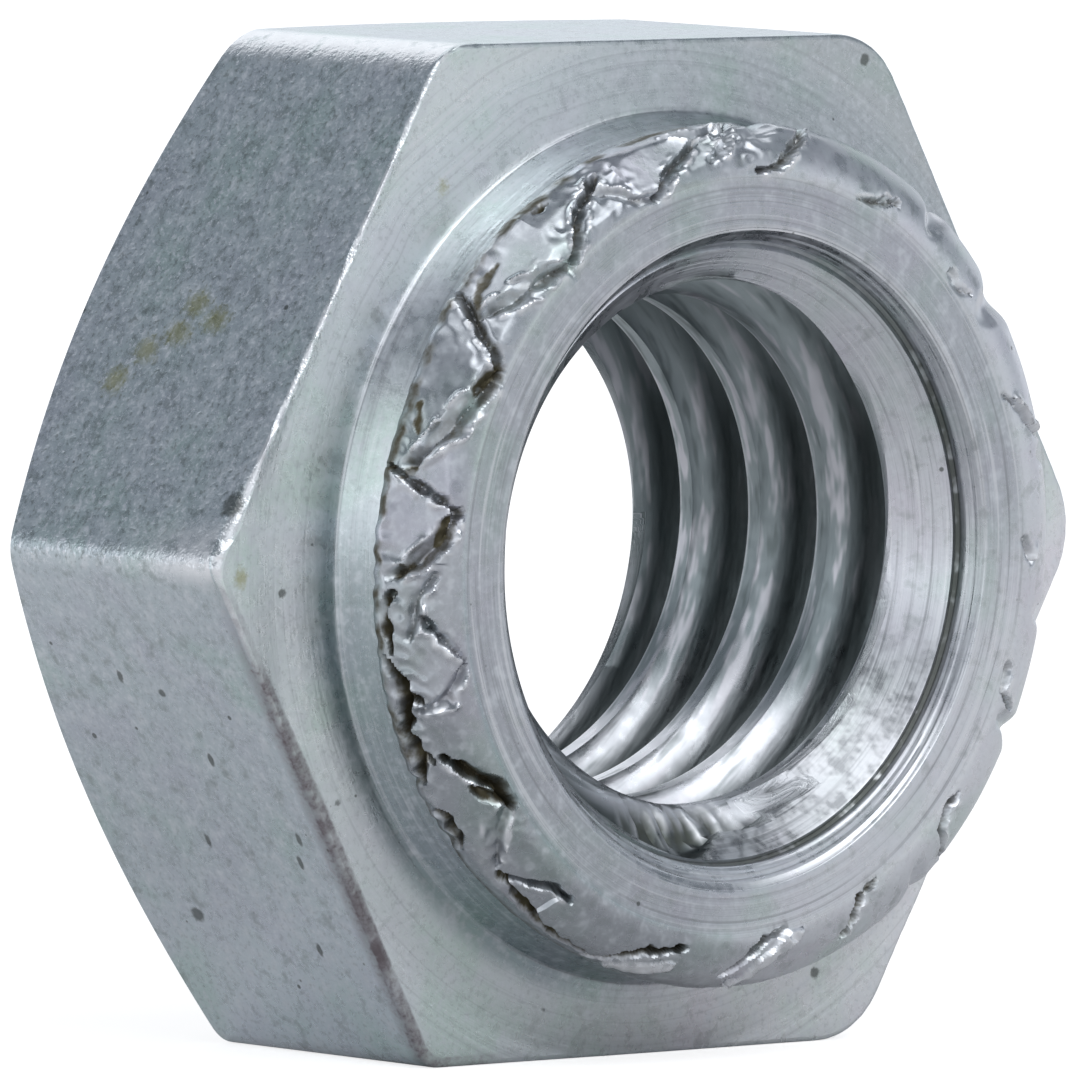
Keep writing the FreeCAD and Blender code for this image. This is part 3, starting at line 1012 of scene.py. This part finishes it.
    # relief: grain, and the tool's lines
    coarse = g.times(g.line(upper, 0.22, 1.0), g.line(round_part, 1.0, 0.5), g.line(threaded, 1.0, 0.4))
    relief = g.times(grain, g.times(coarse, finish.grain_height))
    scoring = g.plus(g.times(turned, 0.007 * MM), g.times(threaded, 0.006 * MM))
    relief = g.plus(relief, g.times(lines, scoring))
    bump = g.node("Bump", (("Strength", 1.0), ("Distance", 1.0), ("Height", relief)))
    rough = g.plus(
        g.ramp(patches, 0.3, 0.7, 0.24, 0.36), g.times(grime_and_shade, 0.35),
        g.times(threaded, g.ramp(z, -1.6, 0.4, 0.0, 0.12)))
    g.shown("OutputMaterial", g.node("BsdfPrincipled", (
        ("Base Color", colour), ("Metallic", 1.0), ("Roughness", rough),
        ("Normal", bump.outputs[0]))))
    return material


# ---------------- stage


def new_object(name, data):
    made = bpy.data.objects.new(name, data)
    bpy.context.scene.collection.objects.link(made)
    return made


# the studio's soft lights: where each lies, seen from the nut; the angles inside which it
# is full and outside which it ends; and how strong it is
DOME = (0.2, 0.225, 0.255)
HORIZON = (0.33, 0.34, 0.355)
SOFT_LIGHTS = (
    ((0.1, -0.68, 0.73), 15, 36, 1.45),
    ((-0.27, -0.3, 0.91), 12, 32, 0.77),
    ((0.42, 0.74, 0.5), 20, 31, 0.8),
    ((-0.6, 0.68, 0.42), 12, 30, 0.08),
    ((-0.62, -0.76, 0.08), 16, 36, 0.52),
    ((-0.93, 0.25, 0.1), 15, 38, 0.77),
    ((0.92, 0.3, 0.24), 10, 24, 0.28),
    ((0.67, -0.74, 0.05), 8, 26, 0.15),
)
SOFT_COLOUR = (0.985, 1.0, 1.01)


def studio_world():
    """Light from all round: white to the camera, and a soft studio to everything else.
    Its sky is a dome, a brighter band at the horizon, falling off with the square of the
    height, and round soft lights."""
    world = bpy.data.worlds.new("studio")
    bpy.context.scene.world = world
    world.use_nodes = True
    g = Graph(world.node_tree)
    way = g.node("TexCoord").outputs["Generated"]
    height = g.math("DIVIDE", g.split(way)[2], 0.24)
    band = g.math("EXPONENT", g.times(height, height, -1.0))
    light = 0.0
    for aim, inner, outer, full in SOFT_LIGHTS:
        size = math.sqrt(sum(x * x for x in aim))
        facing = g.vector("DOT_PRODUCT", way, tuple(x / size for x in aim))
        ends = math.cos(radians(outer)), math.cos(radians(inner))
        light = g.plus(g.ramp(facing, *ends, 0.0, full), light)
    total = g.vector("ADD", g.scaled(HORIZON, band), DOME)
    total = g.vector("ADD", total, g.scaled(SOFT_COLOUR, light))
    seen = g.node("LightPath").outputs["Is Camera Ray"]
    sky = g.mix(seen, total, (1, 1, 1))
    g.shown("OutputWorld", g.node("Background", (("Color", sky),)))


def build_floor(finish, level):
    """A wide floor, white to the camera except where the nut shades it, and paler in the
    nut's reflections to its left and further away."""
    mesh = bpy.data.meshes.new("floor")
    half = 4.0
    corners = ((-half, -half), (half, -half), (half, half), (-half, half))
    mesh.from_pydata([(*corner, level) for corner in corners], [], [(0, 1, 2, 3)])
    floor = new_object("floor", mesh)
    material, g = new_material("pale_floor")
    diffuse = g.node("BsdfDiffuse", (("Color", (*finish.floor, 1)),))
    place = g.node("TexCoord").outputs["Object"]
    x, y, z = g.split(place)
    left, behind = g.ramp(x, 2 * MM, -4 * MM), g.ramp(y, -1 * MM, 3 * MM)
    away = g.ramp(g.vector("LENGTH", place), 5 * MM, 18 * MM)
    pale = g.most(g.times(left, behind), g.times(away, 2.2))
    seen = g.node("LightPath").outputs
    mirrored = g.most(seen["Is Glossy Ray"], seen["Is Transmission Ray"])
    power = g.plus(g.times(mirrored, g.times(pale, 0.1)), g.times(seen["Is Camera Ray"], 0.74))
    glow = g.node("Emission", (("Strength", power),))
    both = g.node("AddShader", ((0, diffuse.outputs[0]), (1, glow.outputs[0])))
    g.shown("OutputMaterial", both)
    mesh.materials.append(material)


def photo_camera():
    """The camera, fitted to the photograph: to the left of the collar's front and a little
    above, with a long lens."""
    focal_px, photo_px = 20248.4, 1080
    data = bpy.data.cameras.new("photo_camera")
    data.sensor_width = 36.0
    data.lens = data.sensor_width * focal_px / photo_px
    data.clip_start, data.clip_end = 0.01, 50.0
    camera = new_object("photo_camera", data)
    camera.location = [v * MM for v in (-134.350562, -146.023847, 14.481568)]
    camera.rotation_euler = np.radians((85.8393723, -0.994373, -42.2206684))
    bpy.context.scene.camera = camera


# ---------------- operators


class BuildNut(bpy.types.Operator):
    """Build the nut: one closed skin with thread, knurled collar and hexagon"""

    bl_idname = "clinch_nut.build_nut"
    bl_label = "Build nut"

    def execute(self, context):
        scene = context.scene
        nut = new_object("clinch_nut_look", build_nut(scene.nut_sizes, scene.knurl_look))
        nut.data.set_sharp_from_angle(angle=radians(34))
        nut.data.materials.append(zinc_finish(scene.finish_look))
        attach(nut, "root")
        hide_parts("clinch_nut")
        return {"FINISHED"}


class BuildStage(bpy.types.Operator):
    """Build the floor, the light and the camera"""

    bl_idname = "clinch_nut.build_stage"
    bl_label = "Build stage"

    def execute(self, context):
        scene = context.scene
        scene.view_settings.view_transform = "Standard"
        build_floor(scene.finish_look, -scene.nut_sizes.across_flats / 2)
        studio_world()
        photo_camera()
        return {"FINISHED"}


class NutPanel(bpy.types.Panel):
    """Lists the steps that build the nut and its stage"""

    bl_idname = "VIEW3D_PT_clinch_nut"
    bl_label = "Clinch nut"
    bl_space_type = "VIEW_3D"
    bl_region_type = "UI"
    bl_category = "Clinch nut"

    def draw(self, context):
        for operator in (BuildNut, BuildStage):
            self.layout.operator(operator.bl_idname)
        for group in (context.scene.nut_sizes, context.scene.knurl_look, context.scene.finish_look):
            for key in group.__annotations__:
                self.layout.prop(group, key)


CLASSES = (NutSizes, KnurlLook, FinishLook, BuildNut, BuildStage, NutPanel)


def register():
    for item in CLASSES:
        bpy.utils.register_class(item)
    bpy.types.Scene.nut_sizes = bpy.props.PointerProperty(type=NutSizes)
    bpy.types.Scene.knurl_look = bpy.props.PointerProperty(type=KnurlLook)
    bpy.types.Scene.finish_look = bpy.props.PointerProperty(type=FinishLook)


def unregister():
    del bpy.types.Scene.finish_look, bpy.types.Scene.knurl_look, bpy.types.Scene.nut_sizes
    for item in reversed(CLASSES):
        bpy.utils.unregister_class(item)


def main():
    register()
    bpy.ops.clinch_nut.build_nut()
    bpy.ops.clinch_nut.build_stage()


if __name__ == "__main__":
    main()
